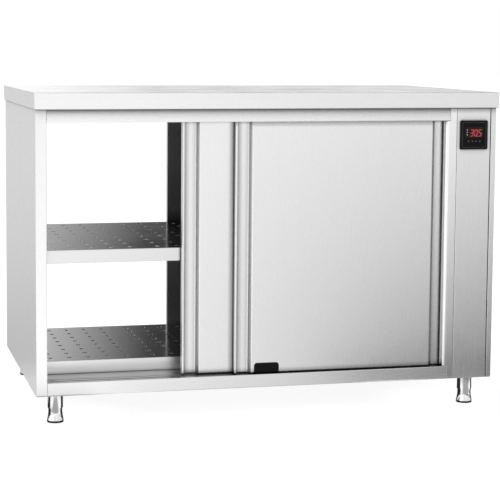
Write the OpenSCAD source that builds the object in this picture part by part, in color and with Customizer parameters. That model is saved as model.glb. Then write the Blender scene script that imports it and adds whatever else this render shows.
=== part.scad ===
// Pass-through hot cupboard: a heated stainless cabinet with sliding doors on both long
// sides, a perforated shelf, a perforated base plate and a control column on the right.
// Millimetres. The front faces -Y, +Z is up, and the feet stand on Z = 0.

/* [Cabinet] */
// Width of the worktop
cabinet_w = 1200; // [1000:10:1800]
// Depth of the worktop
cabinet_d = 700; // [600:10:800]
// Height of the body between its underside and the worktop
body_h = 706; // [620:1:800]
// Height of the worktop's folded edge
top_h = 40; // [30:1:60]
// Clear height under the body with the feet screwed in
clear_h = 74; // [66:1:120]
// Sheet thickness of the panels
sheet_t = 1.2; // [0.8:0.1:1.6]
// Set-back of the body's sides from the ends of the worktop
side_inset = 3; // [1:0.5:10]
// Set-back of the body's front and rear from the edge of the worktop
face_inset = 10; // [4:0.5:12]

/* [Walls] */
// Thickness of the insulated left wall
wall_w = 27; // [20:1:45]
// Width of the post between the compartment and the control column
post_w = 17; // [12:1:30]
// How far the post's rounded fold stands in front of the doors' ends
post_lip = 12; // [10:0.5:20]
// Width of the control column with its post and corner strip
column_w = 124; // [118:1:180]
// Width of the corner strip on the right
strip_w = 13; // [10:1:16]
// Joint between the post and the control fascia
fascia_joint = 1; // [0.5:0.5:4]
// Shadow gap between the control fascia and the corner strip
fascia_gap = 2.5; // [1:0.5:8]
// Height of the header above the doors
header_h = 33; // [30:1:60]
// Height of the bottom rail
rail_h = 33; // [28:1:60]

/* [Doors] */
// Thickness of a door
door_t = 16; // [15:0.5:25]
// Sheet thickness of a door
door_sheet_t = 1; // [0.8:0.1:1.5]
// Overlap of the two doors of one side when both are closed
door_overlap = 91; // [70:1:130]
// Set-back of the outer door behind the front
door_setback = 11; // [8:0.5:20]
// Gap between the two doors of one side
door_gap = 2.5; // [2.5:0.5:6]
// Gap between a door and the bottom rail
door_lift = 3; // [2:0.5:6]
// How far the front left door stands open
front_left_open = 343; // [0:1:420]
// How far the rear left door stands open
rear_left_open = 431; // [0:1:460]
// Width of the floor of a finger pull
pull_w = 30; // [20:1:45]
// Depth of a finger pull
pull_depth = 11; // [6:0.5:12]
// Width of the rim between a finger pull and the edge of its door
pull_rim = 6; // [5.5:0.5:12]
// Inside radius of the bends at the floor of a finger pull
floor_bend_r = 4.5; // [1:0.5:5]
// Outside radius of the other upright bends of a door
door_bend_r = 2; // [0.5:0.5:2.5]
// Width of a bottom guide block
guide_w = 64; // [40:1:90]
// Height of a bottom guide block
guide_h = 23.5; // [15:0.5:30]

/* [Shelves] */
// Height of the upper shelf above the underside of the body
shelf_rise = 355; // [250:1:450]
// Height of the folded edge of a shelf
shelf_fold = 33; // [20:1:45]
// Set-back of the base plate behind the front
base_setback = 105; // [60:1:160]
// Diameter of a perforation
hole_d = 12; // [6:0.5:16]
// Columns of perforations in one cluster
cluster_columns = 5; // [2:1:6]
// Clusters of perforations on a shelf
clusters = 4; // [1:1:4]
// Rows of perforations
hole_rows = 8; // [2:1:10]
// Distance from the outer columns of perforations to the ends of a shelf
column_margin = 25.5; // [20:0.5:60]
// Distance between neighbouring clusters
cluster_gap = 71; // [50:0.5:80]

/* [Feet] */
// Diameter of a leg tube
leg_d = 38; // [32:1:50]
// Length of a leg tube under the body
leg_len = 38; // [28:1:40]
// Gap between a leg's mounting plate and the left wall
leg_gap = 2; // [1:0.5:40]
// Distance from a leg's centre to the edge of the worktop
leg_inset_y = 58; // [50:1:100]
// Diameter of the flared base of a foot
foot_d = 41; // [38:0.5:60]
// Diameter of the waist of a foot
waist_d = 34.5; // [26:0.5:36]
// Diameter of the stem of a foot
stem_d = 16; // [10:1:20]
// Height that a foot can be screwed out
foot_travel = 30; // [10:1:34]

/* [Controller] */
// Width and height of the bezel
bezel_w = 74; // [60:1:80]
// Distance of the bezel's upper edge below the worktop
bezel_drop = 33; // [10:1:120]
// Depth of the controller behind the fascia
case_depth = 65; // [40:1:80]
// Width of the display window
window_w = 50; // [30:1:56]
// Height of the display window
window_h = 27; // [15:1:32]
// Diameter of a button
button_d = 6; // [4:0.5:8]
// Distance between buttons
button_pitch = 10.3; // [9.5:0.1:13]
// Travel of a button
button_travel = 0.5; // [0.3:0.1:0.5]

/* [Air heater] */
// Depth of the fan duct beside the partition
duct_w = 62; // [50:1:66]
// Length of the fan duct
duct_d = 240; // [220:1:300]
// Height of the fan duct above the floor
duct_h = 300; // [280:1:340]
// Diameter of the fan wheel
wheel_d = 150; // [100:1:160]
// Width of the fan wheel
wheel_w = 34; // [20:1:40]
// Diameter of the fan motor
motor_d = 84; // [60:1:100]
// Diameter of the motor shaft
shaft_d = 8; // [6:1:12]
// Diameter of the heating tube
heater_d = 8.5; // [7:0.5:10]
// Diameter of the cold ends of the heating tube
heater_leg_d = 6.5; // [4:0.5:6.5]

/* [Hidden] */
$fn = 48;
// Overrun of every cut
cut = 1;
// Radial play of a shaft or stem that runs in a bore
running_play = 0.06;
// Play round a piece that is set into a cut-out
seat_play = 0.2;
// Least gap between pieces that move past each other
moving_gap = 0.3;

// Box of the body
x_left = -cabinet_w / 2 + side_inset;
x_right = cabinet_w / 2 - side_inset;
y_front = -cabinet_d / 2 + face_inset;
z_under = clear_h;
z_top = z_under + body_h;
z_total = z_top + top_h;
z_wall_lo = z_under + sheet_t;
z_wall_hi = z_top - sheet_t;

// Door opening and control column
x_open_lo = x_left + wall_w;
x_open_hi = x_right - column_w;
x_post_hi = x_open_hi + post_w;
x_strip = x_right - strip_w;
x_fascia_lo = x_post_hi + fascia_joint;
x_fascia_hi = x_strip - fascia_gap;
x_column = (x_fascia_lo + x_fascia_hi) / 2;
z_floor = z_under + rail_h;
z_head = z_top - header_h;
worktop_return = 20;
lip_depth = 15;
landing_w = 10;
face_joint = 0.5;

// Door lanes: lane 0 is the outer one and lane 1 the inner one
door_pitch = door_t + door_gap;
zone_clear = 3;
door_zone = door_setback + door_t + door_pitch + zone_clear;
end_gap = 1;
door_w = (x_open_hi - x_open_lo - 2 * end_gap + door_overlap) / 2;
liner_t = door_sheet_t;
pull_slope_shares = [0.6, -0.8];
pull_run = -pull_depth * pull_slope_shares[0] / pull_slope_shares[1];
pull_total = pull_rim + pull_w + pull_run;
guide_margin = 8;
guide_proud = 0.6;
guide_corner_r = 7;
tongue_t = 4;
tongue_h = 9;
tongue_inset = 6;
slot_play = 0.5;
slot_end = 10;
rail_leg = 10;
head_lip = door_setback - zone_clear;
post_fold_r = min(head_lip, post_lip);

// Upper track and its rollers
track_t = 1.5;
ledge_w = 10;
roller_d = 20;
roller_w = 6;
roller_room = 1;
track_play = 0.2;
axle_d = 6;
collar_d = 10;
axle_head_d = 9;
axle_head_t = 1;
tab_w = 32;
tab_inset = 90;
hanger_x = [tab_inset, door_w - tab_inset];
roller_dish_d = 15;
roller_dish_depth = 1;
z_track_hi = z_wall_hi - sheet_t;
z_axle = z_track_hi - track_t - roller_room - roller_d / 2;
z_ledge = z_axle - roller_d / 2 - track_play;
door_head_gap = 2;
z_door_lo = z_floor + door_lift;
z_door_hi = z_ledge - track_t - door_head_gap;
door_h = z_door_hi - z_door_lo;

// Doors in the order front left, front right, rear left, rear right
x_closed_left = x_open_lo + end_gap;
x_closed_right = x_open_hi - end_gap - door_w;
door_x = [
    x_closed_left + front_left_open,
    x_closed_right,
    x_closed_left + rear_left_open,
    x_closed_right
];

// Shelves
shelf_clear = 2;
shelf_side_gap = 1.5;
shelf_lip = 12;
shelf_setback = door_zone + shelf_clear;
row_margin = 42;
x_shelf_lo = x_open_lo + shelf_side_gap;
x_shelf_hi = x_open_hi - shelf_side_gap;
pattern_w = x_shelf_hi - x_shelf_lo - 2 * column_margin;
cluster_w = (pattern_w - (clusters - 1) * cluster_gap) / clusters;
column_pitch = cluster_w / (cluster_columns - 1);
z_shelf = z_under + shelf_rise;
z_base = z_floor + shelf_fold;
bracket_w = 14;
bracket_t = 2;
bracket_end_gap = 25;

// Legs and feet
leg_wall = 1.5;
plug_h = 14;
plate_margin = 5;
plate_w = leg_d + 2 * plate_margin;
plate_t = 3;
stem_margin = 8;
foot_base_h = 5;
flare_h = 24;
flare_steps = 8;
leg_x = -x_open_lo - leg_gap - plate_w / 2;
leg_y = cabinet_d / 2 - leg_inset_y;
z_leg_lo = z_under - leg_len;
z_foot_hi = z_leg_lo - moving_gap;
z_stem_hi = z_leg_lo + plug_h + foot_travel + stem_margin;

// Controller
bezel_t = 3.5;
bezel_corner_r = 3;
case_margin = 5;
case_wall = 2;
case_w = bezel_w - 2 * case_margin;
z_bezel_hi = z_top - bezel_drop;
z_bezel_mid = z_bezel_hi - bezel_w / 2;
window_rise = 7;
window_t = 2;
z_window = z_bezel_mid + window_rise;
window_recess = 0.5;
button_drop = 16;
button_proud = button_travel;
button_flange_d = 8;
button_flange_t = 1;
button_stem = 2.5;
button_count = 4;

// Rear service cover
cover_screw_d = 4;
cover_head_d = 8;
cover_head_t = 1.6;
cover_screw_len = 8;
cover_screw_rows = 3;
cover_screw_margin = 60;
rear_lip = 2 * sheet_t + cover_head_t + running_play;
louvre_count = 8;
louvre_w = 52;
louvre_h = 4;
louvre_pitch = 14;
louvre_rise = 420;

// Air heater
duct_wall = 1;
duct_x_lo = x_open_hi + sheet_t;
duct_x_hi = duct_x_lo + duct_w;
fan_rise = 185;
z_fan = z_floor + fan_rise;
fan_gap = 9;
wheel_x_hi = duct_x_hi - duct_wall - fan_gap;
wheel_x_lo = wheel_x_hi - wheel_w;
wheel_plate_t = 2;
wheel_hub_d = 24;
wheel_ring_w = 14;
blade_count = 12;
blade_t = 1.5;
blade_w = 26;
blade_turn = 35;
motor_len = 34;
motor_flange_t = 3;
motor_flange_over = 8;
shaft_hole_d = 22;
heater_gap = 14;
heater_ring_r = wheel_d / 2 + heater_gap + heater_d / 2;
heater_leg_out = 16;
heater_flange_d = 18;
heater_flange_t = 2;
heater_leg_turns = [20, -20];
x_heater = (wheel_x_lo + wheel_x_hi) / 2;
inlet_hole_d = 10;
inlet_pitch = 16;
inlet_rings = 3;
inlet_per_ring = 6;
outlet_count = 6;
outlet_w = 28;
outlet_h = 14;
outlet_pitch = 36;
outlet_rise = 8;
probe_d = 6;
probe_len = 70;
probe_flange_d = 18;
probe_flange_t = 2;
probe_y = 120;
probe_drop = 15;
z_probe = z_wall_hi - probe_drop;
terminal_t = 22;
terminal_len = 72;
terminal_h = 28;
terminal_ways = 5;
terminal_well_d = 6;
terminal_well_depth = 12;
terminal_y = 220;
terminal_rise = 80;
gland_d = 20;
gland_nut_d = 27;
gland_nut_h = 6;
gland_dome_h = 12;
gland_dome_d = 22;
gland_bore_d = 9;
gland_gap = 4;
gland_y = leg_y - plate_w / 2 - gland_nut_d / 2 - gland_gap;

steel = "silver";
bright_steel = "gainsboro";
dark_plastic = "black";

// Box between two opposite corners
module block(lo, hi) {
    translate(lo) cube(hi - lo);
}

// Cylinder along X from a starting point
module rod_x(start, d, len) {
    translate(start) rotate([0, 90, 0]) cylinder(d = d, h = len);
}

// Cylinder along Y from a starting point
module rod_y(start, d, len) {
    translate(start) rotate([-90, 0, 0]) cylinder(d = d, h = len);
}

// Square plate outline with round corners, centred
module round_square(w, r) {
    square([w, w - 2 * r], center = true);
    square([w - 2 * r, w], center = true);
    for (sx = [-1, 1], sy = [-1, 1]) translate([sx * (w / 2 - r), sy * (w / 2 - r)]) circle(r);
}

// Children as they are at the front, or mirrored to the rear
module at_side(rear) {
    if (rear) {
        mirror([0, 1, 0]) children();
    } else {
        children();
    }
}

// Folded worktop: top, edges and the return that rests on the body
module worktop() {
    half = [cabinet_w / 2, cabinet_d / 2, 0];
    skin = [sheet_t, sheet_t, 0];
    rim = [worktop_return, worktop_return, 0];
    color(bright_steel) difference() {
        block(-half + [0, 0, z_top], half + [0, 0, z_total]);
        block(-half + skin + [0, 0, z_top + sheet_t], half - skin + [0, 0, z_total - sheet_t]);
        block(-half + rim + [0, 0, z_top - cut], half - rim + [0, 0, z_top + sheet_t + cut]);
    }
}

// Board that fills the worktop
module worktop_core() {
    half = [cabinet_w / 2 - sheet_t, cabinet_d / 2 - sheet_t, 0];
    color("tan") block(-half + [0, 0, z_top + sheet_t], half + [0, 0, z_total - sheet_t]);
}

// Flat sheet over the whole footprint of the body
module footprint_sheet(z) {
    block([x_left, y_front, z], [x_right, -y_front, z + sheet_t]);
}

module ceiling_panel() {
    color(steel) footprint_sheet(z_wall_hi);
}

// Underside with the holes that the legs and the cable gland pass through
module underside_panel() {
    color(steel) difference() {
        footprint_sheet(z_under);
        for (sx = [-1, 1], sy = [-1, 1]) translate([sx * leg_x, sy * leg_y, z_under - cut])
            cylinder(d = leg_d + seat_play, h = sheet_t + 2 * cut);
        translate([x_column, gland_y, z_under - cut])
            cylinder(d = gland_d + seat_play, h = sheet_t + 2 * cut);
    }
}

// Left wall: outer sheet folded round both corners into the jambs
module left_side_shell() {
    color(bright_steel) difference() {
        block([x_left, y_front, z_wall_lo], [x_open_lo, -y_front, z_wall_hi]);
        block([x_left + sheet_t, y_front + sheet_t, z_wall_lo - cut],
              [x_open_lo - sheet_t, -y_front - sheet_t, z_wall_hi + cut]);
        block([x_left + wall_w / 2, y_front + door_zone, z_wall_lo - cut],
              [x_open_lo + cut, -y_front - door_zone, z_wall_hi + cut]);
    }
}

module left_side_liner() {
    color(steel) block([x_open_lo - sheet_t, y_front + door_zone, z_wall_lo],
                       [x_open_lo, -y_front - door_zone, z_wall_hi]);
}

module left_insulation() {
    color("khaki") block([x_left + sheet_t, y_front + sheet_t, z_wall_lo],
                         [x_open_lo - sheet_t, -y_front - sheet_t, z_wall_hi]);
}

// Wall of the control column: web, two faces, lips and the landings for the covers.
// Its web stands at X = 0 and its faces run towards +X.
module column_channel(width) {
    lip_lo = width - sheet_t;
    block([0, y_front, z_wall_lo], [sheet_t, -y_front, z_wall_hi]);
    block([0, y_front, z_wall_lo], [width, y_front + sheet_t, z_wall_hi]);
    block([lip_lo, y_front, z_wall_lo], [width, y_front + lip_depth, z_wall_hi]);
    block([lip_lo, y_front + lip_depth - sheet_t, z_wall_lo],
          [width + landing_w, y_front + lip_depth, z_wall_hi]);
    block([0, -y_front - sheet_t, z_wall_lo], [width, -y_front, z_wall_hi]);
    block([lip_lo, -y_front - rear_lip, z_wall_lo], [width, -y_front, z_wall_hi]);
    block([lip_lo, -y_front - rear_lip, z_wall_lo],
          [width + landing_w, -y_front - rear_lip + sheet_t, z_wall_hi]);
}

// Rounded fold of the post in front of the doors' ends, between rail and header; the web stands at X = 0
module post_fold() {
    r = post_fold_r;
    translate([0, 0, z_floor + face_joint]) linear_extrude(z_head - z_floor - 2 * face_joint) {
        translate([r - post_lip, y_front]) square([post_lip + sheet_t - r, sheet_t]);
        translate([r - post_lip, y_front + r]) intersection() {
            difference() {
                circle(r);
                circle(r - sheet_t);
            }
            translate([-r, -r]) square(r);
        }
    }
}

// Places of the service cover's screws: X, Z
function cover_screws() = [
    for (x = [x_post_hi + landing_w / 2, x_strip - landing_w / 2], i = [0 : cover_screw_rows - 1])
        [x, z_wall_lo + cover_screw_margin
            + i * (z_wall_hi - z_wall_lo - 2 * cover_screw_margin) / (cover_screw_rows - 1)]
];

module cover_screw_holes() {
    for (p = cover_screws())
        rod_y([p[0], -y_front - rear_lip - cut, p[1]], cover_screw_d, rear_lip + 2 * cut);
}

module right_side_panel() {
    color(steel) difference() {
        translate([x_right, 0, 0]) mirror([1, 0, 0]) column_channel(strip_w);
        cover_screw_holes();
    }
}

// Partition between the compartment and the control column, with the air grilles
module partition_shell() {
    web = sheet_t + 2 * cut;
    x_cut = x_open_hi - cut;
    color(steel) difference() {
        translate([x_open_hi, 0, 0]) {
            column_channel(post_w);
            for (rear = [false, true]) at_side(rear) post_fold();
        }
        cover_screw_holes();
        rod_x([x_cut, 0, z_fan], inlet_hole_d, web);
        for (ring = [1 : inlet_rings], i = [0 : ring * inlet_per_ring - 1]) {
            turn = 360 * i / (ring * inlet_per_ring);
            rod_x([x_cut, ring * inlet_pitch * cos(turn), z_fan + ring * inlet_pitch * sin(turn)],
                  inlet_hole_d, web);
        }
        for (i = [0 : outlet_count - 1]) {
            y_mid = (i - (outlet_count - 1) / 2) * outlet_pitch;
            block([x_cut, y_mid - outlet_w / 2, z_floor + outlet_rise],
                  [x_cut + web, y_mid + outlet_w / 2, z_floor + outlet_rise + outlet_h]);
        }
        rod_x([x_cut, probe_y, z_probe], probe_d + seat_play, web);
    }
}

// Compartment floor between the two bottom rails
module floor_pan() {
    y_edge = y_front + door_zone;
    color(steel) {
        block([x_open_lo, y_edge, z_floor - sheet_t], [x_open_hi, -y_edge, z_floor]);
        block([x_open_lo, y_edge, z_floor - rail_leg], [x_open_hi, y_edge + sheet_t, z_floor]);
        block([x_open_lo, -y_edge - sheet_t, z_floor - rail_leg], [x_open_hi, -y_edge, z_floor]);
    }
}

// Y of the outer face of the door in one lane, at the front
function lane_y(lane) = y_front + door_setback + lane * door_pitch;

// Open joints at the ends of a rail's or header's face
module face_ends() {
    for (x = [x_open_lo, x_open_hi])
        block([x - face_joint, y_front - cut, z_under], [x + face_joint, y_front + sheet_t, z_top]);
}

// Bottom rail: a folded channel with one guide slot for each door
module bottom_rail() {
    slot_w = tongue_t + 2 * slot_play;
    difference() {
        block([x_open_lo, y_front, z_wall_lo], [x_open_hi, y_front + door_zone, z_floor]);
        block([x_open_lo - cut, y_front + sheet_t, z_wall_lo - cut],
              [x_open_hi + cut, y_front + door_zone - sheet_t, z_floor - sheet_t]);
        block([x_open_lo - cut, y_front + door_zone / 2, z_wall_lo - cut],
              [x_open_hi + cut, y_front + door_zone + cut, z_floor - rail_leg]);
        for (lane = [0, 1]) {
            y_mid = lane_y(lane) + door_t / 2;
            block([x_open_lo + slot_end, y_mid - slot_w / 2, z_floor - sheet_t - cut],
                  [x_open_hi - slot_end, y_mid + slot_w / 2, z_floor + cut]);
        }
        face_ends();
    }
}

module front_rail() {
    color(bright_steel) bottom_rail();
}

module rear_rail() {
    color(bright_steel) at_side(true) bottom_rail();
}

// Header: face, top flange and a lower lip
module header() {
    difference() {
        union() {
            block([x_open_lo, y_front, z_head], [x_open_hi, y_front + sheet_t, z_wall_hi]);
            block([x_open_lo, y_front, z_track_hi], [x_open_hi, y_front + door_zone, z_wall_hi]);
            block([x_open_lo, y_front, z_head], [x_open_hi, y_front + head_lip, z_head + sheet_t]);
        }
        face_ends();
    }
}

module front_header() {
    color(bright_steel) header();
}

module rear_header() {
    color(bright_steel) at_side(true) header();
}

// Y of the web in front of one lane
function web_y(lane) = lane_y(lane) - door_gap / 2;

// Double track with one roller ledge for each lane
module track() {
    block([x_open_lo, web_y(0) - track_t / 2, z_track_hi - track_t],
          [x_open_hi, web_y(2) + track_t / 2, z_track_hi]);
    for (lane = [0 : 2])
        block([x_open_lo, web_y(lane) - track_t / 2, z_ledge - track_t],
              [x_open_hi, web_y(lane) + track_t / 2, z_track_hi]);
    for (lane = [0, 1])
        block([x_open_lo, web_y(lane) - track_t / 2, z_ledge - track_t],
              [x_open_hi, web_y(lane) + track_t / 2 + ledge_w, z_ledge]);
}

module door_tracks() {
    color(steel) {
        track();
        at_side(true) track();
    }
}

// Front cover of the control column, with the cut-out for the controller
module control_fascia() {
    seat = case_w / 2 + seat_play;
    y_land = y_front + lip_depth - sheet_t;
    color(bright_steel) difference() {
        union() {
            block([x_fascia_lo, y_front, z_wall_lo], [x_fascia_hi, y_front + sheet_t, z_wall_hi]);
            block([x_fascia_lo, y_front, z_wall_lo], [x_fascia_lo + sheet_t, y_land, z_wall_hi]);
            block([x_fascia_hi - sheet_t, y_front, z_wall_lo], [x_fascia_hi, y_land, z_wall_hi]);
        }
        block([x_column - seat, y_front - cut, z_bezel_mid - seat],
              [x_column + seat, y_front + sheet_t + cut, z_bezel_mid + seat]);
    }
}

// Rear cover of the control column, with louvres
module service_cover() {
    y_lo = -y_front - rear_lip + sheet_t;
    color(steel) difference() {
        block([x_post_hi, y_lo, z_wall_lo], [x_strip, y_lo + sheet_t, z_wall_hi]);
        cover_screw_holes();
        for (i = [0 : louvre_count - 1]) {
            z_mid = z_wall_lo + louvre_rise + i * louvre_pitch;
            block([x_column - louvre_w / 2, y_lo - cut, z_mid - louvre_h / 2],
                  [x_column + louvre_w / 2, y_lo + sheet_t + cut, z_mid + louvre_h / 2]);
        }
    }
}

// Screws of the service cover, all alike
module service_screws() {
    y_seat = -y_front - rear_lip + 2 * sheet_t;
    color(steel) for (p = cover_screws()) {
        rod_y([p[0], y_seat, p[1]], cover_head_d, cover_head_t);
        rod_y([p[0], y_seat - cover_screw_len, p[1]], cover_screw_d - running_play, cover_screw_len);
    }
}

// X of each column of perforations
function columns_x() = [
    for (c = [0 : clusters - 1], i = [0 : cluster_columns - 1])
        x_shelf_lo + column_margin + c * (cluster_w + cluster_gap) + i * column_pitch
];

// Perforated sheet with both long edges folded down and in
module perforated_tray(y_edge, z) {
    row_span = -2 * y_edge - 2 * row_margin;
    translate([0, 0, z - sheet_t]) linear_extrude(sheet_t) difference() {
        translate([x_shelf_lo, y_edge]) square([x_shelf_hi - x_shelf_lo, -2 * y_edge]);
        for (x = columns_x(), row = [0 : hole_rows - 1])
            translate([x, (row / (hole_rows - 1) - 1 / 2) * row_span]) circle(d = hole_d);
    }
    for (rear = [false, true]) at_side(rear) {
        block([x_shelf_lo, y_edge, z - shelf_fold], [x_shelf_hi, y_edge + sheet_t, z]);
        block([x_shelf_lo, y_edge, z - shelf_fold],
              [x_shelf_hi, y_edge + shelf_lip, z - shelf_fold + sheet_t]);
    }
}

module upper_shelf() {
    color(steel) perforated_tray(y_front + shelf_setback, z_shelf);
}

module base_plate() {
    color(steel) perforated_tray(y_front + base_setback, z_base);
}

// Angles on both side walls that carry the upper shelf
module shelf_bracket() {
    y_end = y_front + shelf_setback + bracket_end_gap;
    z_hi = z_shelf - sheet_t;
    block([0, y_end, z_hi - bracket_t], [bracket_w, -y_end, z_hi]);
    block([0, y_end, z_hi - bracket_w], [bracket_t, -y_end, z_hi]);
}

module shelf_brackets() {
    color(steel) {
        translate([x_open_lo, 0, 0]) shelf_bracket();
        translate([x_open_hi, 0, 0]) mirror([1, 0, 0]) shelf_bracket();
    }
}

// Leg: tube through the underside, its mounting plate and the bored plug for the foot
module leg_tube() {
    difference() {
        union() {
            translate([0, 0, z_leg_lo]) cylinder(d = leg_d, h = z_wall_lo + plate_t - z_leg_lo);
            block([-plate_w / 2, -plate_w / 2, z_wall_lo], [plate_w / 2, plate_w / 2, z_wall_lo + plate_t]);
        }
        translate([0, 0, z_leg_lo + plug_h])
            cylinder(d = leg_d - 2 * leg_wall, h = z_wall_lo + plate_t - z_leg_lo - plug_h + cut);
        translate([0, 0, z_leg_lo - cut])
            cylinder(d = stem_d + 2 * running_play, h = plug_h + 2 * cut);
    }
}

module leg_tubes() {
    color(bright_steel) for (sx = [-1, 1], sy = [-1, 1])
        translate([sx * leg_x, sy * leg_y, 0]) leg_tube();
}

// Radius of a foot's flare at a share of its height: a quarter ellipse from base to waist
function flare_r(height_share) = waist_d / 2 + (foot_d - waist_d) / 2 * (1 - sin(90 * height_share));

// Adjustable foot: flared base, waist and the stem that runs in the leg
module foot(sx, sy) {
    color(bright_steel) translate([sx * leg_x, sy * leg_y, 0]) {
        rotate_extrude() polygon(concat(
            [[0, 0], [foot_d / 2, 0]],
            [for (i = [0 : flare_steps])
                [flare_r(i / flare_steps), foot_base_h + flare_h * i / flare_steps]],
            [[waist_d / 2, z_foot_hi], [0, z_foot_hi]]
        ));
        cylinder(d = stem_d, h = z_stem_hi);
    }
}

// Centre of a round of radius r in a corner whose edges run along the unit vectors u and v
function round_centre(corner, u, v, r) = corner + (u + v) / norm(u + v) * r / sin(acos(u * v) / 2);

// Where such a round leaves one edge, its centre, and where it meets the other edge
function round_path(corner, u, v, r) = let (along = r / tan(acos(u * v) / 2))
    [corner + u * along, round_centre(corner, u, v, r), corner + v * along];

// What such a round leaves over in its corner
module corner_rest(corner, u, v, r) {
    difference() {
        polygon(concat([corner], round_path(corner, u, v, r)));
        translate(round_centre(corner, u, v, r)) circle(r);
    }
}

// Cross-section of a pressed tray with one upright and one sloping side and a rounded floor
module pull_tray(x_lo, x_hi, mouth, depth, r) {
    polygon(concat(
        [[x_lo, mouth[1]]],
        round_path([x_lo, depth], [0, -1], [1, 0], r),
        round_path([x_hi, depth], [-1, 0], pull_slope_shares, r),
        [mouth]
    ));
    translate(round_centre([x_lo, depth], [0, -1], [1, 0], r)) circle(r);
    translate(round_centre([x_hi, depth], [-1, 0], pull_slope_shares, r)) circle(r);
}

// Room of a finger pull in the front of a door, with the rounds of the edges beside it
module pull_room() {
    over = pull_run * cut / pull_depth;
    pull_tray(pull_rim, pull_rim + pull_w, [pull_total + over, -cut], pull_depth, floor_bend_r);
    corner_rest([0, 0], [1, 0], [0, 1], door_bend_r);
    corner_rest([pull_rim, 0], [-1, 0], [0, 1], door_bend_r);
    corner_rest([pull_total, 0], -pull_slope_shares, [1, 0], door_bend_r);
}

// Block of sheet that a finger pull is pressed into
module pull_wall() {
    s = door_sheet_t;
    mouth = pull_total - s / pull_slope_shares[1];
    x_hi = mouth - pull_run * (pull_depth + s) / pull_depth;
    pull_tray(pull_rim - s, x_hi, [mouth, 0], pull_depth + s, floor_bend_r + s);
}

// Both pulls of a door, one at each upright edge
module both_pulls() {
    children();
    translate([door_w, 0]) mirror([1, 0]) children();
}

// Folded door sheet with its two finger pulls, outer face at Y = 0
module door_skin_shape() {
    s = door_sheet_t;
    back = door_t - liner_t;
    difference() {
        union() {
            linear_extrude(door_h) difference() {
                square([door_w, back]);
                translate([s, s]) square([door_w - 2 * s, back]);
            }
            linear_extrude(door_h) both_pulls() pull_wall();
            for (z = [0, door_h - s]) translate([0, 0, z]) linear_extrude(s) square([door_w, back]);
        }
        translate([0, 0, -cut]) linear_extrude(door_h + 2 * cut) both_pulls() pull_room();
        translate([0, door_t, 0]) rotate([90, 0, 0]) linear_extrude(door_t + cut) guide_face(seat_play);
    }
}

// Inner sheet of a door with its hanger tabs and roller axles
module door_liner_shape(lane) {
    y_back = door_t - liner_t;
    y_roller = web_y(lane) - lane_y(lane) + track_t / 2 + (ledge_w - roller_w) / 2;
    axle_z = z_axle - z_door_lo;
    block([0, y_back, 0], [door_w, door_t, door_h]);
    for (x = hanger_x) {
        block([x - tab_w / 2, y_back, door_h], [x + tab_w / 2, door_t, axle_z + roller_d / 2]);
        rod_y([x, y_roller + roller_w + moving_gap, axle_z], collar_d, y_back - y_roller - roller_w - moving_gap);
        rod_y([x, y_roller - moving_gap - axle_head_t, axle_z], axle_d, y_back - y_roller);
        rod_y([x, y_roller - moving_gap - axle_head_t, axle_z], axle_head_d, axle_head_t);
    }
}

// Round-cornered face of a guide block, with play round it where a door is cut out for it
module guide_face(play) {
    r = guide_corner_r + play;
    x_lo = pull_total + guide_margin - play;
    x_hi = x_lo + guide_w + 2 * play;
    z_hi = guide_h + play;
    translate([x_lo, -play]) square([x_hi - x_lo, z_hi - r + play]);
    translate([x_lo + r, -play]) square([x_hi - x_lo - 2 * r, z_hi + play]);
    for (x = [x_lo + r, x_hi - r]) translate([x, z_hi - r]) circle(r);
}

// Guide block, set into the door's lower edge, with a tongue below
module guide_shape() {
    x_lo = pull_total + guide_margin;
    x_hi = x_lo + guide_w;
    y_back = door_t - liner_t;
    translate([0, y_back, 0]) rotate([90, 0, 0]) linear_extrude(y_back + guide_proud) guide_face(0);
    block([x_lo + tongue_inset, (door_t - tongue_t) / 2, -tongue_h],
          [x_hi - tongue_inset, (door_t + tongue_t) / 2, 0]);
}

// Places a door's pieces: left doors run in the inner lane with the guide on their right
module at_door(i) {
    left = i % 2 == 0;
    at_side(i >= 2) translate([door_x[i], lane_y(left ? 1 : 0), z_door_lo]) {
        if (left) {
            translate([door_w, 0, 0]) mirror([1, 0, 0]) children();
        } else {
            children();
        }
    }
}

module door_skin(i) {
    color(bright_steel) at_door(i) door_skin_shape();
}

module door_liner(i) {
    color(steel) at_door(i) door_liner_shape(i % 2 == 0 ? 1 : 0);
}

module guide(i) {
    color(dark_plastic) at_door(i) guide_shape();
}

// Roller of a door: a dished wheel on the axle of hanger 0 or 1
module roller(i, hanger) {
    y_lo = web_y(0) - lane_y(0) + track_t / 2 + (ledge_w - roller_w) / 2;
    bore_d = axle_d + 2 * running_play;
    start = [hanger_x[hanger], y_lo, z_axle - z_door_lo];
    color("white") at_door(i) difference() {
        rod_y(start, roller_d, roller_w);
        rod_y(start - [0, cut, 0], bore_d, roller_w + 2 * cut);
        difference() {
            rod_y(start - [0, cut, 0], roller_dish_d, cut + roller_dish_depth);
            rod_y(start - [0, 2 * cut, 0], collar_d, 3 * cut + roller_dish_depth);
        }
    }
}

// Controller body behind the fascia, open at the front
module controller_case() {
    half = case_w / 2;
    inner = half - case_wall;
    color(dark_plastic) difference() {
        block([x_column - half, y_front, z_bezel_mid - half],
              [x_column + half, y_front + case_depth, z_bezel_mid + half]);
        block([x_column - inner, y_front - cut, z_bezel_mid - inner],
              [x_column + inner, y_front + case_depth - case_wall, z_bezel_mid + inner]);
    }
}

// Middle of one button: X, Z
function button_at(i) = [x_column + (i - (button_count - 1) / 2) * button_pitch, z_bezel_mid - button_drop];

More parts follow.
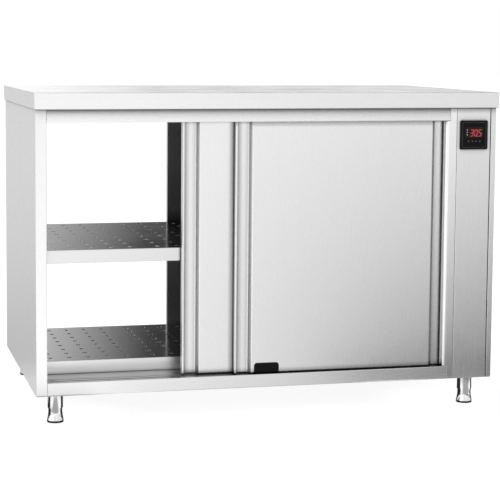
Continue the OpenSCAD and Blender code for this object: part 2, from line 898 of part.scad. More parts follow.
module controller_bezel() {
    bore_d = button_d + 2 * running_play;
    color(dark_plastic) difference() {
        translate([x_column, y_front, z_bezel_mid]) rotate([90, 0, 0])
            linear_extrude(bezel_t) round_square(bezel_w, bezel_corner_r);
        block([x_column - window_w / 2, y_front - bezel_t - cut, z_window - window_h / 2],
              [x_column + window_w / 2, y_front + cut, z_window + window_h / 2]);
        for (i = [0 : button_count - 1])
            rod_y([button_at(i)[0], y_front - bezel_t - cut, button_at(i)[1]], bore_d, bezel_t + 2 * cut);
    }
}

module display_window() {
    y_lo = y_front - bezel_t + window_recess;
    color("darkred") block([x_column - window_w / 2, y_lo, z_window - window_h / 2],
                           [x_column + window_w / 2, y_lo + window_t, z_window + window_h / 2]);
}

// Button with the flange that keeps it behind the bezel
module button(i) {
    p = button_at(i);
    color("dimgray") {
        rod_y([p[0], y_front - bezel_t - button_proud, p[1]], button_d, bezel_t + button_proud + button_stem);
        rod_y([p[0], y_front + moving_gap, p[1]], button_flange_d, button_flange_t);
    }
}

// Children at the two places where the heater's legs leave its ring
module at_heater_legs(x) {
    for (turn = heater_leg_turns)
        translate([x, heater_ring_r * sin(turn), z_fan + heater_ring_r * cos(turn)])
            rotate([0, 90, 0]) children();
}

// Sheet box that guides the air past the heater, open towards the partition
module fan_duct() {
    half = duct_d / 2;
    color(steel) difference() {
        block([duct_x_lo, -half, z_floor], [duct_x_hi, half, z_floor + duct_h]);
        block([duct_x_lo - cut, -half + duct_wall, z_floor + duct_wall],
              [duct_x_hi - duct_wall, half - duct_wall, z_floor + duct_h - duct_wall]);
        rod_x([duct_x_hi - duct_wall - cut, 0, z_fan], shaft_hole_d, duct_wall + 2 * cut);
        at_heater_legs(duct_x_hi - duct_wall - cut)
            cylinder(d = heater_leg_d + seat_play, h = duct_wall + 2 * cut);
    }
}

module fan_motor() {
    color("dimgray") {
        rod_x([duct_x_hi, 0, z_fan], motor_d + 2 * motor_flange_over, motor_flange_t);
        rod_x([duct_x_hi, 0, z_fan], motor_d, motor_len);
        rod_x([wheel_x_lo, 0, z_fan], shaft_d, duct_x_hi - wheel_x_lo);
    }
}

// Radial fan wheel: back plate, hub, blades and front ring
module fan_wheel() {
    ring_in_d = wheel_d - 2 * wheel_ring_w;
    bore_d = shaft_d + 2 * running_play;
    color("silver") translate([wheel_x_lo, 0, z_fan]) rotate([0, 90, 0]) {
        difference() {
            union() {
                translate([0, 0, wheel_w - wheel_plate_t]) cylinder(d = wheel_d, h = wheel_plate_t);
                cylinder(d = wheel_hub_d, h = wheel_w);
            }
            translate([0, 0, -cut]) cylinder(d = bore_d, h = wheel_w + 2 * cut);
        }
        difference() {
            cylinder(d = wheel_d, h = wheel_plate_t);
            translate([0, 0, -cut]) cylinder(d = ring_in_d, h = wheel_plate_t + 2 * cut);
        }
        for (i = [0 : blade_count - 1])
            rotate(360 * i / blade_count) translate([(wheel_d - wheel_ring_w) / 2, 0, 0])
                rotate(blade_turn) translate([-blade_w / 2, -blade_t / 2, 0])
                    cube([blade_w / 2, blade_t, wheel_w]);
    }
}

// Ring of heating tube round the wheel with two legs through the duct wall
module heater_element() {
    color("gray") {
        translate([x_heater, 0, z_fan]) rotate([0, 90, 0])
            rotate_extrude() translate([heater_ring_r, 0]) circle(d = heater_d);
        at_heater_legs(x_heater) cylinder(d = heater_leg_d, h = duct_x_hi + heater_leg_out - x_heater);
        at_heater_legs(duct_x_hi) cylinder(d = heater_flange_d, h = heater_flange_t);
    }
}

// Mains terminal block on the partition
module terminal_block() {
    x_lo = x_open_hi + sheet_t;
    z_lo = z_floor + terminal_rise;
    way = terminal_len / terminal_ways;
    color("ivory") difference() {
        block([x_lo, terminal_y - terminal_len / 2, z_lo],
              [x_lo + terminal_t, terminal_y + terminal_len / 2, z_lo + terminal_h]);
        for (i = [0 : terminal_ways - 1])
            rod_x([x_lo + terminal_t - terminal_well_depth,
                   terminal_y + (i - (terminal_ways - 1) / 2) * way, z_lo + terminal_h / 2],
                  terminal_well_d, terminal_well_depth + cut);
    }
}

// Temperature probe through the partition into the compartment
module temperature_probe() {
    x_seat = x_open_hi + sheet_t;
    color("silver") {
        rod_x([x_seat - probe_len, probe_y, z_probe], probe_d, probe_len);
        rod_x([x_seat, probe_y, z_probe], probe_flange_d, probe_flange_t);
    }
}

// Gland for the mains lead, under the control column
module cable_gland() {
    color(dark_plastic) translate([x_column, gland_y, 0]) difference() {
        union() {
            translate([0, 0, z_under - gland_nut_h]) cylinder(d = gland_nut_d, h = gland_nut_h, $fn = 6);
            translate([0, 0, z_under - gland_nut_h - gland_dome_h])
                cylinder(d = gland_dome_d, h = gland_dome_h);
            translate([0, 0, z_under]) cylinder(d = gland_d, h = sheet_t + gland_nut_h);
            translate([0, 0, z_wall_lo]) cylinder(d = gland_nut_d, h = gland_nut_h, $fn = 6);
        }
        translate([0, 0, z_under - gland_nut_h - gland_dome_h - cut])
            cylinder(d = gland_bore_d, h = gland_dome_h + 2 * gland_nut_h + sheet_t + 2 * cut);
    }
}

worktop();
worktop_core();
ceiling_panel();
left_side_shell();
left_side_liner();
left_insulation();
right_side_panel();
partition_shell();
floor_pan();
underside_panel();
front_rail();
rear_rail();
front_header();
rear_header();
door_tracks();
control_fascia();
service_cover();
service_screws();
upper_shelf();
shelf_brackets();
base_plate();
leg_tubes();
foot(-1, -1);  // foot_front_left
foot(1, -1);  // foot_front_right
foot(-1, 1);  // foot_rear_left
foot(1, 1);  // foot_rear_right
door_skin(0);  // front_left_door_skin
door_skin(1);  // front_right_door_skin
door_skin(2);  // rear_left_door_skin
door_skin(3);  // rear_right_door_skin
door_liner(0);  // front_left_door_liner
door_liner(1);  // front_right_door_liner
door_liner(2);  // rear_left_door_liner
door_liner(3);  // rear_right_door_liner
guide(0);  // front_left_guide
guide(1);  // front_right_guide
guide(2);  // rear_left_guide
guide(3);  // rear_right_guide
roller(0, 0);  // front_left_roller_a
roller(0, 1);  // front_left_roller_b
roller(1, 0);  // front_right_roller_a
roller(1, 1);  // front_right_roller_b
roller(2, 0);  // rear_left_roller_a
roller(2, 1);  // rear_left_roller_b
roller(3, 0);  // rear_right_roller_a
roller(3, 1);  // rear_right_roller_b
controller_case();
controller_bezel();
display_window();
button(0);  // button_1
button(1);  // button_2
button(2);  // button_3
button(3);  // button_4
fan_duct();
fan_motor();
fan_wheel();
heater_element();
terminal_block();
temperature_probe();
cable_gland();
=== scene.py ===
# Hot cupboard: finishes, display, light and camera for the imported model, in metres
import math

import bmesh
import bpy
from mathutils import Matrix, Vector


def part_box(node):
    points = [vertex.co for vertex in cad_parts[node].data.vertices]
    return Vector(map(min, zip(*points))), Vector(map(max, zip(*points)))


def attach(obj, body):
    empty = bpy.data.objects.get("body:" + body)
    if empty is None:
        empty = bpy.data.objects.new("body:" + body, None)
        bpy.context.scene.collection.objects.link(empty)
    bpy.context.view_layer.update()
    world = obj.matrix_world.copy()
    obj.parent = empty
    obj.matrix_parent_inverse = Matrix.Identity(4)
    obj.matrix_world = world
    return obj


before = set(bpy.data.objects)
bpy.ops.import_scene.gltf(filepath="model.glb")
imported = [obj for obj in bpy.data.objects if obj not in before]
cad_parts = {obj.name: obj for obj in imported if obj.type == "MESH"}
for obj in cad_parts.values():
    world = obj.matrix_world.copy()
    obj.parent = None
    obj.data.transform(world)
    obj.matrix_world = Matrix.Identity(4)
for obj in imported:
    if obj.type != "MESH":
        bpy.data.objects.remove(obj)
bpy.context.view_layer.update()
scene = bpy.context.scene


class Level:
    """A shader output that Python arithmetic can be done with."""

    def __init__(self, nodes, out):
        self.nodes = nodes
        self.out = out

    def math(self, operation, a, b=0.0):
        return self.nodes.add("Math", {"operation": operation}, [a, b])

    def __add__(self, other):
        return self.math("ADD", self, other)

    def __sub__(self, other):
        return self.math("SUBTRACT", self, other)

    def __rsub__(self, other):
        return self.math("SUBTRACT", other, self)

    def __mul__(self, other):
        return self.math("MULTIPLY", self, other)

    def __truediv__(self, other):
        return self.math("DIVIDE", self, other)

    def __pow__(self, other):
        return self.math("POWER", self, other)

    __radd__ = __add__
    __rmul__ = __mul__

    def exp(self):
        return self.math("EXPONENT", self)

    def size(self):
        return self.math("ABSOLUTE", self)

    def above(self, least):
        return self.math("MAXIMUM", self, least)

    def below(self, most):
        return self.math("MINIMUM", self, most)

    def clamped(self):
        return self.above(0.0).below(1.0)

    def rising(self, start, width):
        """0 up to the start, 1 from a width further on."""
        return ((self - start) / width).clamped()

    def falling(self, end, width):
        """1 up to a width before the end, 0 from the end on."""
        return ((end - self) / width).clamped()

    def dimmed(self, share):
        return self * (1 - share)

    def toward(self, target, share):
        return self + (target - self) * share


class Nodes:
    """The nodes of one material or of the world."""

    def __init__(self, owner):
        owner.use_nodes = True
        self.tree = owner.node_tree
        self.tree.nodes.clear()

    def add(self, kind, settings=None, sockets=(), out=0):
        node = self.tree.nodes.new("ShaderNode" + kind)
        for key, value in (settings or {}).items():
            if key == "stops":
                ramp = node.color_ramp.elements
                while len(ramp) < len(value):
                    ramp.new(1.0)
                for stop, (at, colour) in zip(ramp, value):
                    stop.position = at
                    stop.color = (*colour, 1.0)
            else:
                setattr(node, key, value)
        pairs = sockets.items() if isinstance(sockets, dict) else enumerate(sockets)
        for key, value in pairs:
            socket = node.inputs[key]
            if isinstance(value, Level):
                self.tree.links.new(value.out, socket)
            elif isinstance(value, tuple) and len(value) == 3 and socket.type == "RGBA":
                socket.default_value = (*value, 1.0)
            else:
                socket.default_value = value
        return Level(self, node.outputs[out]) if node.outputs else None

    def mix(self, share, a, b):
        return self.add("Mix", {"data_type": "RGBA"}, {0: share, 6: a, 7: b}, out=2)

    def stretched(self, place, scale):
        return self.add("VectorMath", {"operation": "MULTIPLY"}, [place, scale])

    def noise(self, place, scale, detail=2.0, rough=0.5):
        """Noise whose scale is given for each axis, in features per metre."""
        spread = self.stretched(place, scale)
        return self.add(
            "TexNoise", {}, {"Vector": spread, "Scale": 1.0, "Detail": detail, "Roughness": rough}
        )

    def dot(self, a, b):
        return self.add("VectorMath", {"operation": "DOT_PRODUCT"}, [a, b], out="Value")

    def part(self, vector, axis):
        """One coordinate of a vector."""
        return self.add("SeparateXYZ", {}, [vector], out=axis)

    def place(self):
        return self.add("TexCoord", out="Object")

    def bend(self, radius, samples):
        """Normal with the edges rounded."""
        return self.add("Bevel", {"samples": samples}, {"Radius": radius})

    def edge_wear_and_highlight(self, bend, gain):
        """How far a rounded normal leaves the face: where a bend gets rubbed smoother, and where steel
        gets a painted highlight.
        """
        return ((1 - self.dot(bend, self.facing())) * gain).clamped()

    def facing(self):
        return self.add("NewGeometry", out="Normal")

    def bump(self, height, bend=None):
        """Normal for a height in metres, on a rounded normal if there is one."""
        sockets = {"Strength": 1.0, "Distance": 1.0, "Height": height}
        if bend is not None:
            sockets["Normal"] = bend
        return self.add("Bump", {}, sockets)

    def glow(self, strength):
        return self.add("Emission", {}, {"Color": grey(1.0), "Strength": strength})


def grey(level):
    return (level, level, level)


def finish(name, build):
    """A material whose Principled shader takes the sockets that build gives."""
    material = bpy.data.materials.new(name)
    nodes = Nodes(material)
    surface = nodes.add("BsdfPrincipled", {}, build(nodes))
    nodes.add("OutputMaterial", {}, {"Surface": surface})
    return material


def along(grain, length, width):
    """Noise scale for streaks of a length and width in metres, running along the grain's axis."""
    return tuple(1 / length if axis == grain else 1 / width for axis in "xyz")


# Metals
HAIR, STREAK = (0.07, 0.0006), (0.6, 0.009)
HAIR_HEIGHT, STREAK_HEIGHT = 0.000005, 0.000007
CLOUDS, WAVES = 7.0, 3.1
TOP_SHADE_TONE, BEND_HIGHLIGHT, CORNER_SHADE = grey(0.2), grey(0.96), grey(0.07)


def steel(grain, light, dark, rough, edge=0.0024, wave=0.0005, relief=1.0, rim=1.0,
          reach=0.04, deep=2.4, smooth_top=0.0, top_shade=0.0):
    """Brushed sheet: fine streaks along the grain, soft waves, smoother bends with a painted highlight,
    and painted shade in the corners.

    The painted corner shade spreads over the reach and goes to the power deep. The two top values make
    what faces up smoother and paint shade on it, and rim tints the shine at a flat angle.
    """

    def build(nodes):
        place = nodes.place()
        hair = nodes.noise(place, along(grain, *HAIR), 2.0, 0.6)
        streak = nodes.noise(place, along(grain, *STREAK), 3.0, 0.6)
        cloud = nodes.noise(place, grey(CLOUDS), 4.0, 0.55)
        sheet = nodes.noise(place, grey(WAVES), 1.0)
        bend = nodes.bend(edge, 6)
        edge_wear_and_highlight = nodes.edge_wear_and_highlight(bend, 5)
        open_air = nodes.add("AmbientOcclusion", {"samples": 8}, {"Distance": reach}, out="AO")
        upward = nodes.dot(nodes.facing(), (0.0, 0.0, 1.0)).above(0.0)
        tone = nodes.mix((hair * 0.35 + streak * 0.4 + cloud * 0.25).clamped(), dark, light)
        # painted shade on what faces up
        tone = nodes.mix(upward * top_shade, tone, TOP_SHADE_TONE)
        # painted highlight along the rounded bends
        tone = nodes.mix(edge_wear_and_highlight * 0.6, tone, BEND_HIGHLIGHT)
        # painted shade in corners, creases and under overhangs
        tone = nodes.mix(open_air ** deep, CORNER_SHADE, tone)
        roughness = rough + (hair - 0.5) * 0.12 + (cloud - 0.5) * 0.08
        roughness = roughness - edge_wear_and_highlight * 0.06 - upward * smooth_top
        height = sheet * wave + (hair * HAIR_HEIGHT + streak * STREAK_HEIGHT) * relief
        return {
            "Base Color": tone,
            "Metallic": 1.0,
            "Roughness": roughness.clamped(),
            "Specular Tint": grey(rim),
            "Normal": nodes.bump(height, bend),
        }

    return build


def polished(light, dark, rough):
    """Turned and polished tube: fine rings round the upright axis and faint handling marks."""
    ring_scale, mark_scale, ring_height, edge = (3.0, 3.0, 2600.0), (60.0, 60.0, 40.0), 0.000004, 0.0007

    def build(nodes):
        place = nodes.place()
        ring = nodes.noise(place, ring_scale, 2.0)
        mark = nodes.noise(place, mark_scale, 4.0, 0.6)
        return {
            "Base Color": nodes.mix((ring * 0.5 + mark * 0.5).clamped(), dark, light),
            "Metallic": 1.0,
            "Roughness": (rough + (mark - 0.5) * 0.12 + (ring - 0.5) * 0.06).clamped(),
            "Normal": nodes.bump(ring * ring_height, nodes.bend(edge, 4)),
        }

    return build


def heat_tinted(nodes):
    """Heating tube: straw and blue tints where it has been hot."""
    plain, straw, blue = (0.32, 0.29, 0.25), (0.42, 0.31, 0.18), (0.24, 0.24, 0.3)
    cloud = nodes.noise(nodes.place(), grey(26.0), 3.0)
    tint = nodes.add("ValToRGB", {"stops": [(0.3, plain), (0.5, straw), (0.7, blue)]}, [cloud])
    return {"Base Color": tint, "Metallic": 1.0, "Roughness": 0.34 + cloud * 0.15}


# Plastics and fillings
def moulded(light, dark, rough, grain=0.0005, shine=0.5):
    """Spark-eroded moulding: an even fine grain with slightly shinier rubbed edges."""
    grain_height, edge = 0.00003, 0.0008

    def build(nodes):
        place = nodes.place()
        fine = nodes.noise(place, grey(1 / grain), 2.0, 0.6)
        cloud = nodes.noise(place, grey(55.0), 3.0)
        bend = nodes.bend(edge, 4)
        edge_wear_and_highlight = nodes.edge_wear_and_highlight(bend, 4)
        return {
            "Base Color": nodes.mix((fine * 0.6 + cloud * 0.4).clamped(), dark, light),
            "Roughness": (rough + (fine - 0.5) * 0.2 - edge_wear_and_highlight * 0.12).clamped(),
            "Specular IOR Level": shine,
            "Normal": nodes.bump(fine * grain_height, bend),
        }

    return build


def lens(nodes):
    """Dark red display window: polished, with faint dust and wiping marks."""
    dark, light = (0.004, 0.002, 0.002), (0.012, 0.005, 0.005)
    place = nodes.place()
    dust = nodes.noise(place, grey(900.0), 3.0, 0.7)
    wipe = nodes.noise(place, (40.0, 40.0, 320.0), 3.0)
    return {
        "Base Color": nodes.mix((dust * 0.5 + wipe * 0.5).clamped(), dark, light),
        "Roughness": 0.08 + wipe * 0.12,
        "Specular IOR Level": 0.2,
    }


def lit(colour, strength):
    """Light-emitting segment that glows a little unevenly."""
    dimmer = tuple(0.72 * part for part in colour)

    def build(nodes):
        cell = nodes.noise(nodes.place(), grey(420.0), 2.0)
        glow = nodes.mix(cell, dimmer, colour)
        return {
            "Base Color": glow,
            "Roughness": 0.3 + cell * 0.1,
            "Emission Color": glow,
            "Emission Strength": strength,
        }

    return build


def board(nodes):
    """Moisture-proof core board: pressed chips under a pale face."""
    dark, pale = (0.5, 0.38, 0.24), (0.7, 0.57, 0.4)
    place = nodes.place()
    chip = nodes.add("TexVoronoi", {}, {"Vector": nodes.stretched(place, (90.0, 260.0, 260.0))})
    fleck = nodes.noise(place, grey(160.0), 3.0)
    tone = nodes.mix((chip * 0.6 + fleck * 0.5).clamped(), dark, pale)
    return {"Base Color": tone, "Roughness": 0.7 + fleck * 0.15}


def wool(nodes):
    """Mineral wool: matted fibres."""
    dark, pale, fibre_height = (0.48, 0.42, 0.22), (0.8, 0.73, 0.46), 0.0012
    fibre = nodes.noise(nodes.place(), (700.0, 120.0, 1500.0), 4.0, 0.7)
    return {
        "Base Color": nodes.mix(fibre, dark, pale),
        "Roughness": 0.85 + fibre * 0.1,
        "Normal": nodes.bump(fibre * fibre_height),
    }


builds = {
    "worktop_along_x": steel("x", grey(0.83), grey(0.76), 0.28, smooth_top=0.14),
    "sheet_along_x": steel("x", grey(0.8), grey(0.73), 0.28, top_shade=0.5),
    # strongest painted shade, under the worktop's overhang
    "header_along_x": steel("x", grey(0.9), grey(0.83), 0.28, deep=5.5),
    "sheet_along_y": steel("y", grey(0.83), grey(0.76), 0.28, wave=0.0003, relief=0.35),
    "sheet_along_z": steel("z", grey(0.815), grey(0.775), 0.28, relief=0.2, reach=0.016),
    "shelf_along_x": steel(
        "x", grey(0.78), grey(0.7), 0.34, rim=0.65, reach=0.008, smooth_top=0.2, top_shade=0.85
    ),
    "base_along_x": steel(
        "x", grey(0.95), grey(0.9), 0.34, reach=0.008, deep=1.0, smooth_top=0.2, top_shade=0.88
    ),
    "inner_along_x": steel(
        "x", grey(0.68), grey(0.6), 0.34, reach=0.008, deep=1.0, smooth_top=0.1, top_shade=0.65
    ),
    "inner_along_z": steel("z", grey(0.78), grey(0.7), 0.4),
    "post_along_z": steel("z", grey(0.88), grey(0.82), 0.22, reach=0.016),
    "liner_along_z": steel("z", grey(0.5), grey(0.42), 0.36),
    "polished_steel": polished(grey(0.86), grey(0.76), 0.1),
    "track_aluminium": steel("x", (0.8, 0.8, 0.81), (0.68, 0.68, 0.69), 0.42, edge=0.0005, wave=0.0),
    "black_plastic": moulded(grey(0.006), grey(0.003), 0.42, shine=0.08),
    "display_lens": lens,
    "button_plastic": moulded(grey(0.009), grey(0.005), 0.5, 0.0003, shine=0.1),
    "white_nylon": moulded((0.86, 0.86, 0.83), (0.78, 0.78, 0.74), 0.45, 0.0008),
    "motor_paint": moulded((0.14, 0.14, 0.15), (0.09, 0.09, 0.1), 0.5, 0.0012),
    "heater_steel": heat_tinted,
    "core_board": board,
    "mineral_wool": wool,
    "lit_segment": lit((0.78, 0.07, 0.07), 0.28),
    "pale_indicator": lit((0.3, 0.36, 0.33), 0.12),
    "printed_mark": moulded(grey(0.17), grey(0.12), 0.5, 0.0004),
}
finishes = {name: finish(name, build) for name, build in builds.items()}

# Which finish each piece of the cabinet has
dressed = {
    "worktop_along_x": ["worktop"],
    "sheet_along_x": ["front_rail", "rear_rail"],
    "header_along_x": ["front_header", "rear_header"],
    "sheet_along_y": ["left_side_shell", "right_side_panel", "underside_panel"],
    "sheet_along_z": ["control_fascia", "service_cover"],
    "shelf_along_x": ["upper_shelf"],
    "base_along_x": ["base_plate"],
    "inner_along_x": ["floor_pan", "ceiling_panel", "shelf_brackets"],
    "inner_along_z": ["left_side_liner", "fan_duct", "service_screws"],
    "post_along_z": ["partition_shell"],
    "liner_along_z": [],
    "polished_steel": ["leg_tubes", "temperature_probe"],
    "track_aluminium": ["door_tracks", "fan_wheel"],
    "black_plastic": ["controller_case", "controller_bezel", "cable_gland"],
    "display_lens": ["display_window"],
    "button_plastic": ["button_1", "button_2", "button_3", "button_4"],
    "white_nylon": [],
    "motor_paint": ["fan_motor", "terminal_block"],
    "heater_steel": ["heater_element"],
    "core_board": ["worktop_core"],
    "mineral_wool": ["left_insulation"],
}
for side in ("front_left", "front_right", "rear_left", "rear_right"):
    dressed["sheet_along_z"].append(side + "_door_skin")
    dressed["liner_along_z"].append(side + "_door_liner")
    dressed["black_plastic"].append(side + "_guide")
    dressed["polished_steel"].append("foot_" + side)
    dressed["white_nylon"].extend([side + "_roller_a", side + "_roller_b"])
for name, pieces in dressed.items():
    for node in pieces:
        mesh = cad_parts[node].data
        mesh.materials.clear()
        mesh.materials.append(finishes[name])
undressed = sorted(set(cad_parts) - {node for pieces in dressed.values() for node in pieces})
if undressed:
    raise SystemExit(f"no finish for {undressed}")


# Display and buttons
FACE_TAPER = 0.06
SUNK = 0.0001
MARK_SUNK, MARK_DEPTH = 0.00005, 0.0002


def piece(name, outlines, front, depth, material, body):
    """Flat shapes in the front plane, each a list of (x, z) points, with a raised and softened face."""
    shape = bmesh.new()
    for outline in outlines:
        mid_x = sum(x for x, z in outline) / len(outline)
        mid_z = sum(z for x, z in outline) / len(outline)
        low = [shape.verts.new((x, front, z)) for x, z in outline]
        high = [
            shape.verts.new((x + (mid_x - x) * FACE_TAPER, front - depth, z + (mid_z - z) * FACE_TAPER))
            for x, z in outline
        ]
        shape.faces.new(high)
        shape.faces.new(low[::-1])
        for i in range(len(outline)):
            j = (i + 1) % len(outline)
            shape.faces.new((low[i], low[j], high[j], high[i]))
    bmesh.ops.recalc_face_normals(shape, faces=shape.faces)
    mesh = bpy.data.meshes.new(name)
    shape.to_mesh(mesh)
    shape.free()
    mesh.materials.append(material)
    made = bpy.data.objects.new(name, mesh)
    scene.collection.objects.link(made)
    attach(made, body)


def bar(a, b, width):
    """Outline of one display segment between two points, pointed at both ends."""
    a, b = Vector(a), Vector(b)
    run = (b - a).normalized()
    across = Vector((-run.y, run.x)) * width / 2
    start, end = a + run * width / 2, b - run * width / 2
    return [a, start + across, end + across, b, end - across, start - across]


def disc(x, z, r, count=20):
    turns = [math.tau * i / count for i in range(count)]
    return [(x + r * math.cos(turn), z + r * math.sin(turn)) for turn in turns]


def block(x_lo, z_lo, x_hi, z_hi):
    return [(x_lo, z_lo), (x_hi, z_lo), (x_hi, z_hi), (x_lo, z_hi)]


# Segments of a digit between corners that are given as shares of its half width and half height
SEGMENT_ENDS = {
    "a": ((-1, 1), (1, 1)), "b": ((1, 1), (1, 0)), "c": ((1, 0), (1, -1)), "d": ((-1, -1), (1, -1)),
    "e": ((-1, 0), (-1, -1)), "f": ((-1, 1), (-1, 0)), "g": ((-1, 0), (1, 0)),
}
SEGMENTS = {"3": "abgcd", "0": "abcdef", "5": "afgcd"}
DIGIT_W, DIGIT_H, DIGIT_PITCH = 0.0068, 0.0165, 0.0112
STROKE_W, LEAN, SEGMENT_SHRINK = 0.0013, 0.1, 0.97


def digit(sign, x, z):
    """Outlines of the lit segments of one digit whose middle is at x, z."""
    outlines = []
    for segment in SEGMENTS[sign]:
        ends = [(u * DIGIT_W / 2, v * DIGIT_H / 2) for u, v in SEGMENT_ENDS[segment]]
        outlines.append([
            (x + p.x * SEGMENT_SHRINK + p.y * LEAN, z + p.y * SEGMENT_SHRINK) for p in bar(*ends, STROKE_W)
        ])
    return outlines


def middle(lo, hi):
    return (lo.x + hi.x) / 2, (lo.z + hi.z) / 2


def display():
    """Three red digits with a point, and three pale indicator lamps on their left."""
    lo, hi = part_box("display_window")
    mid_x, mid_z = middle(lo, hi)
    digits_x, digits_z = mid_x - 0.0008, mid_z - 0.0018
    point_x, point_z, point_r = mid_x + 0.0098, mid_z - 0.0104, 0.001
    lamp_x, lamp_r, lamp_rises = lo.x + 0.006, 0.0014, (0.006, 0.0)
    square_half_w, square_lo, square_hi = 0.0015, mid_z - 0.008, mid_z - 0.0052
    reading_depth, lamp_depth = 0.0004, 0.0003
    reading = []
    for i, sign in enumerate("305"):
        reading += digit(sign, digits_x + (i - 0.5) * DIGIT_PITCH, digits_z)
    reading.append(disc(point_x, point_z, point_r))
    piece("reading", reading, lo.y + SUNK, reading_depth, finishes["lit_segment"], "cabinet")
    lamps = [disc(lamp_x, mid_z + rise, lamp_r) for rise in lamp_rises]
    lamps.append(block(lamp_x - square_half_w, square_lo, lamp_x + square_half_w, square_hi))
    piece("indicator_lamps", lamps, lo.y + SUNK, lamp_depth, finishes["pale_indicator"], "cabinet")


def bezel_line():
    """Fine raised line a little inside the edge of the bezel."""
    lo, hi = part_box("controller_bezel")
    inset, line_w = 0.0048, 0.0004
    outer, inner = (
        block(lo.x + d, lo.z + d, hi.x - d, hi.z - d) for d in (inset, inset + line_w)
    )
    sides = [[outer[i - 1], outer[i], inner[i], inner[i - 1]] for i in (1, 2, 3, 0)]
    piece("bezel_line", sides, lo.y + MARK_SUNK, MARK_DEPTH, finishes["printed_mark"], "cabinet")


def button_marks():
    """Plain signs: three bars, down, up and a ring with a stroke; sizes are in shares of their radius."""
    mark_r = 0.0019
    bars = [(-1, -0.2, 1, 0.2), (-1, 0.6, 0.4, 1), (-1, -1, 0.4, -0.6)]
    signs = [
        [block(*sizes) for sizes in bars],
        [[(-1, 0.7), (1, 0.7), (0, -1)]],
        [[(-1, -0.7), (1, -0.7), (0, 1)]],
        [disc(0, -0.2, 0.75, 16), block(-0.2, 0.7, 0.2, 1.25)],
    ]
    for i, sign in enumerate(signs, 1):
        body = f"button_{i}"
        lo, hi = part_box(body)
        x, z = middle(lo, hi)
        outlines = [[(x + u * mark_r, z + v * mark_r) for u, v in outline] for outline in sign]
        name, front = body + "_mark", lo.y + MARK_SUNK
        piece(name, outlines, front, MARK_DEPTH, finishes["printed_mark"], body)


# Stage
def front_right_wedge(nodes, spot):
    """Level of the floor in front: a dark wedge opens from the right front corner towards the right."""
    corner, run, left = Vector((0.65, -0.6, 0)), Vector((0.4, -0.917, 0)), Vector((-0.917, -0.4, 0))
    open_level, dark = 1.42, 1.25
    far = (nodes.dot(spot, tuple(run)) - corner.dot(run)).above(0.0)
    side = (nodes.dot(spot, tuple(left)) - corner.dot(left)).above(0.0)
    width = 0.68 + far * 0.32
    return open_level - dark * (0 - side / width).exp() / (1 + far * 0.15)


def open_floor(nodes, spot, x, y):
    """Level of the floor away from the cabinet, as the metal mirrors it."""
    ahead = y.falling(-0.25, 0.35)
    turn = (x + 0.5) / (0 - y).above(0.8)
    glow = turn.falling(0.24, 0.08) * 0.14 - turn.falling(0.07, 0.12) * 0.4 * y.falling(-2, 3)
    lit_floor = front_right_wedge(nodes, spot) * (1 + glow)
    from_diagonal = (y - x - 0.45).size()
    near_left = x.falling(-0.7, 0.4) * x.rising(-3.0, 0.4) * from_diagonal.falling(0.65, 0.2)
    behind = y.rising(0.2, 0.3) / (1 + y * y * 0.2)
    aside = (0.8 - x.rising(0.6, 0.8) * 0.2).dimmed(behind * 0.3)
    return aside.toward(lit_floor, ahead.dimmed(near_left))


def floor_finish():
    """White floor that keeps the shadow; what the metal mirrors of it has painted shadow under and round
    the cabinet and at the feet, painted shade behind and to the front right, and painted light beside the
    feet.

    Round each foot it is open on the white beyond, so that a foot screwed out below it still shows.
    """
    beside_light_level, before_shade_level = 1.3, 0.45
    rail_shade_dim, under_shadow_dim, contact_shadow_dim = 0.6, 0.97, 0.95
    paper_grey, white_strength, white_share = 0.85, 1.27, 0.72
    lo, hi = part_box("foot_rear_right")
    foot = (lo + hi) / 2

    material = bpy.data.materials.new("floor")
    nodes = Nodes(material)
    glossy = nodes.add("LightPath", out="Is Glossy Ray")
    spot = nodes.add("NewGeometry", out="Position")
    x, y = (nodes.part(spot, axis) for axis in "XY")
    foot_x, foot_y = x.size() - foot.x, y.size() - foot.y
    from_foot = (foot_x * foot_x + foot_y * foot_y) ** 0.5

    # painted light beside each foot, painted shade before it and before the rail, in what the metal
    # mirrors
    near_foot = y.falling(-0.3, 0.04) * foot_x.size().falling(0.29, 0.05)
    beside = near_foot * y.rising(-0.48, 0.05)
    before = near_foot * y.rising(-0.65, 0.06) * (foot_x - 0.02).size().falling(0.16, 0.05)
    before_rail = x.rising(0.2, 0.25) * y.rising(-0.95, 0.12) * y.falling(-0.54, 0.06)
    # painted shadow under and round the cabinet and where each foot stands, in what the metal mirrors
    below = x.size().falling(0.62, 0.03) * y.size().falling(0.34, 0.06)
    outside = x.size().falling(1.0, 0.1) * y.rising(-0.34, 0.06) * y.falling(-0.07, 0.05)
    under = (below + outside).clamped()
    contact_shadow = from_foot.falling(0.085, 0.03)
    level = open_floor(nodes, spot, x, y).dimmed(before_rail * rail_shade_dim)
    level = level.toward(beside_light_level, beside).toward(before_shade_level, before)
    mirrored = level.dimmed(under * under_shadow_dim).dimmed(contact_shadow * contact_shadow_dim)

    paper = nodes.add("BsdfDiffuse", {}, {"Color": grey(paper_grey)})
    seen = nodes.add("MixShader", {}, [white_share, paper, nodes.glow(white_strength)])
    gap = from_foot.falling(0.26, 0.08)
    seen = nodes.add("MixShader", {}, [gap, seen, nodes.add("BsdfTransparent")])
    surface = nodes.add("MixShader", {}, [glossy, seen, nodes.glow(mirrored)])
    nodes.add("OutputMaterial", {}, {"Surface": surface})
    return material


def plain_floor():
    half_size, drop = 40.0, 0.0005
    shape = bmesh.new()
    bmesh.ops.create_grid(shape, x_segments=2, y_segments=2, size=half_size)
    mesh = bpy.data.meshes.new("floor")
    shape.to_mesh(mesh)
    shape.free()
    mesh.materials.append(floor_finish())
    made = bpy.data.objects.new("floor", mesh)
    made.location.z = -drop
    scene.collection.objects.link(made)


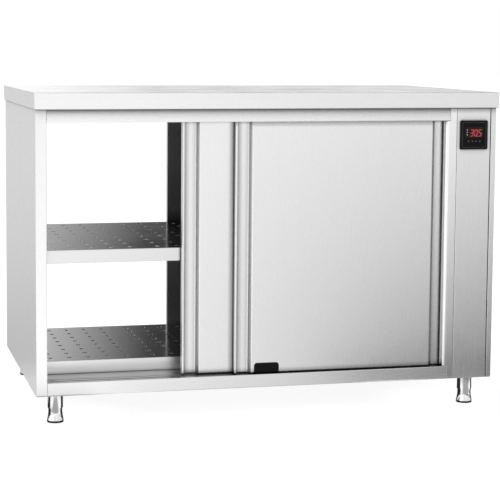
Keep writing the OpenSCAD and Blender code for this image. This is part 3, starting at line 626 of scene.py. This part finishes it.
def studio_world():
    """White to the camera; in the metal brighter on the left and darker behind."""
    mirror_level, white_level, lamp_level = 1.08, 1.0, 0.62
    dark_behind_dim, left_dim = 0.95, 0.45
    world = bpy.data.worlds.new("studio")
    nodes = Nodes(world)
    camera = nodes.add("LightPath", out="Is Camera Ray")
    glossy = nodes.add("LightPath", out="Is Glossy Ray")
    toward = nodes.add("TexCoord", out="Generated")
    across, back, up = (nodes.part(toward, axis) for axis in "XYZ")
    # darker light behind and above the horizon, which only the metal mirrors
    dark_behind = back.rising(0.1, 0.5) * up.rising(0.06, 0.035) * across.rising(0.115, 0.075)
    turn = across / (0 - back).above(0.2)
    front = back.falling(0.0, 0.2)
    behind = back.rising(0.0, 0.5)
    glow = (turn.falling(0.2, 0.06) * 0.16 - turn.falling(0.06, 0.12) * 0.3) * front
    bright = across.falling(-0.3, 0.4).dimmed(back.above(0.0)) * 0.5
    high = up.rising(0.12, 0.3) * 0.3 + up.rising(0.72, 0.2) * 0.35
    horizon = up.falling(0.06, 0.04) * behind * 0.16
    far_left = across.falling(0.0, 0.1) * behind * up.falling(0.35, 0.15)
    mirrored = (mirror_level - across * 0.14 + bright + horizon) * (1 + glow)
    mirrored = mirrored.dimmed(dark_behind * dark_behind_dim).dimmed(high).dimmed(far_left * left_dim)
    unseen = glossy * mirrored + (1 - glossy) * lamp_level
    level = camera * white_level + (1 - camera) * unseen
    light = nodes.add("Background", {}, {"Color": grey(1.0), "Strength": level})
    nodes.add("OutputWorld", {}, {"Surface": light})
    scene.world = world


def softbox(name, place, aim, size, power):
    """Soft lamp that the steel doesn't mirror, so that no lamp burns out in the worktop."""
    lamp = bpy.data.lights.new(name, "AREA")
    lamp.shape = "RECTANGLE"
    lamp.size, lamp.size_y = size
    lamp.energy = power
    made = bpy.data.objects.new(name, lamp)
    scene.collection.objects.link(made)
    made.visible_glossy = False
    made.location = place
    made.rotation_euler = (Vector(aim) - Vector(place)).to_track_quat("-Z", "Y").to_euler()


def photo_camera():
    """The photograph's point of view."""
    place = (-1.06812, -4.14818, 0.9354)
    yaw, pitch, roll = math.radians(13.377), math.radians(5.2187), math.radians(0.3438)
    ahead = Vector((math.sin(yaw) * math.cos(pitch), math.cos(yaw) * math.cos(pitch), -math.sin(pitch)))
    level = Vector((math.cos(yaw), -math.sin(yaw), 0))
    rise = level.cross(ahead)
    right = level * math.cos(roll) + rise * math.sin(roll)
    up = rise * math.cos(roll) - level * math.sin(roll)
    camera = bpy.data.cameras.new("camera")
    camera.lens, camera.sensor_width = 113.8, 36.0
    camera.shift_x, camera.shift_y = 0.08, -0.12
    camera.clip_end = 200.0
    made = bpy.data.objects.new("camera", camera)
    turn = Matrix((right, up, -ahead)).transposed().to_4x4()
    made.matrix_world = Matrix.Translation(place) @ turn
    scene.collection.objects.link(made)
    scene.camera = made


display()
bezel_line()
button_marks()
photo_camera()
plain_floor()
studio_world()
softbox("key", place=(-2.4, -2.6, 3.2), aim=(0, 0, 0.5), size=(4.0, 4.0), power=110)
softbox("fill", place=(2.6, -1.6, 2.8), aim=(0, 0, 0.5), size=(3.4, 3.4), power=40)
softbox("back", place=(-0.6, 3.0, 3.0), aim=(0, 0, 0.4), size=(4.0, 3.0), power=55)
scene.view_settings.view_transform = "Standard"
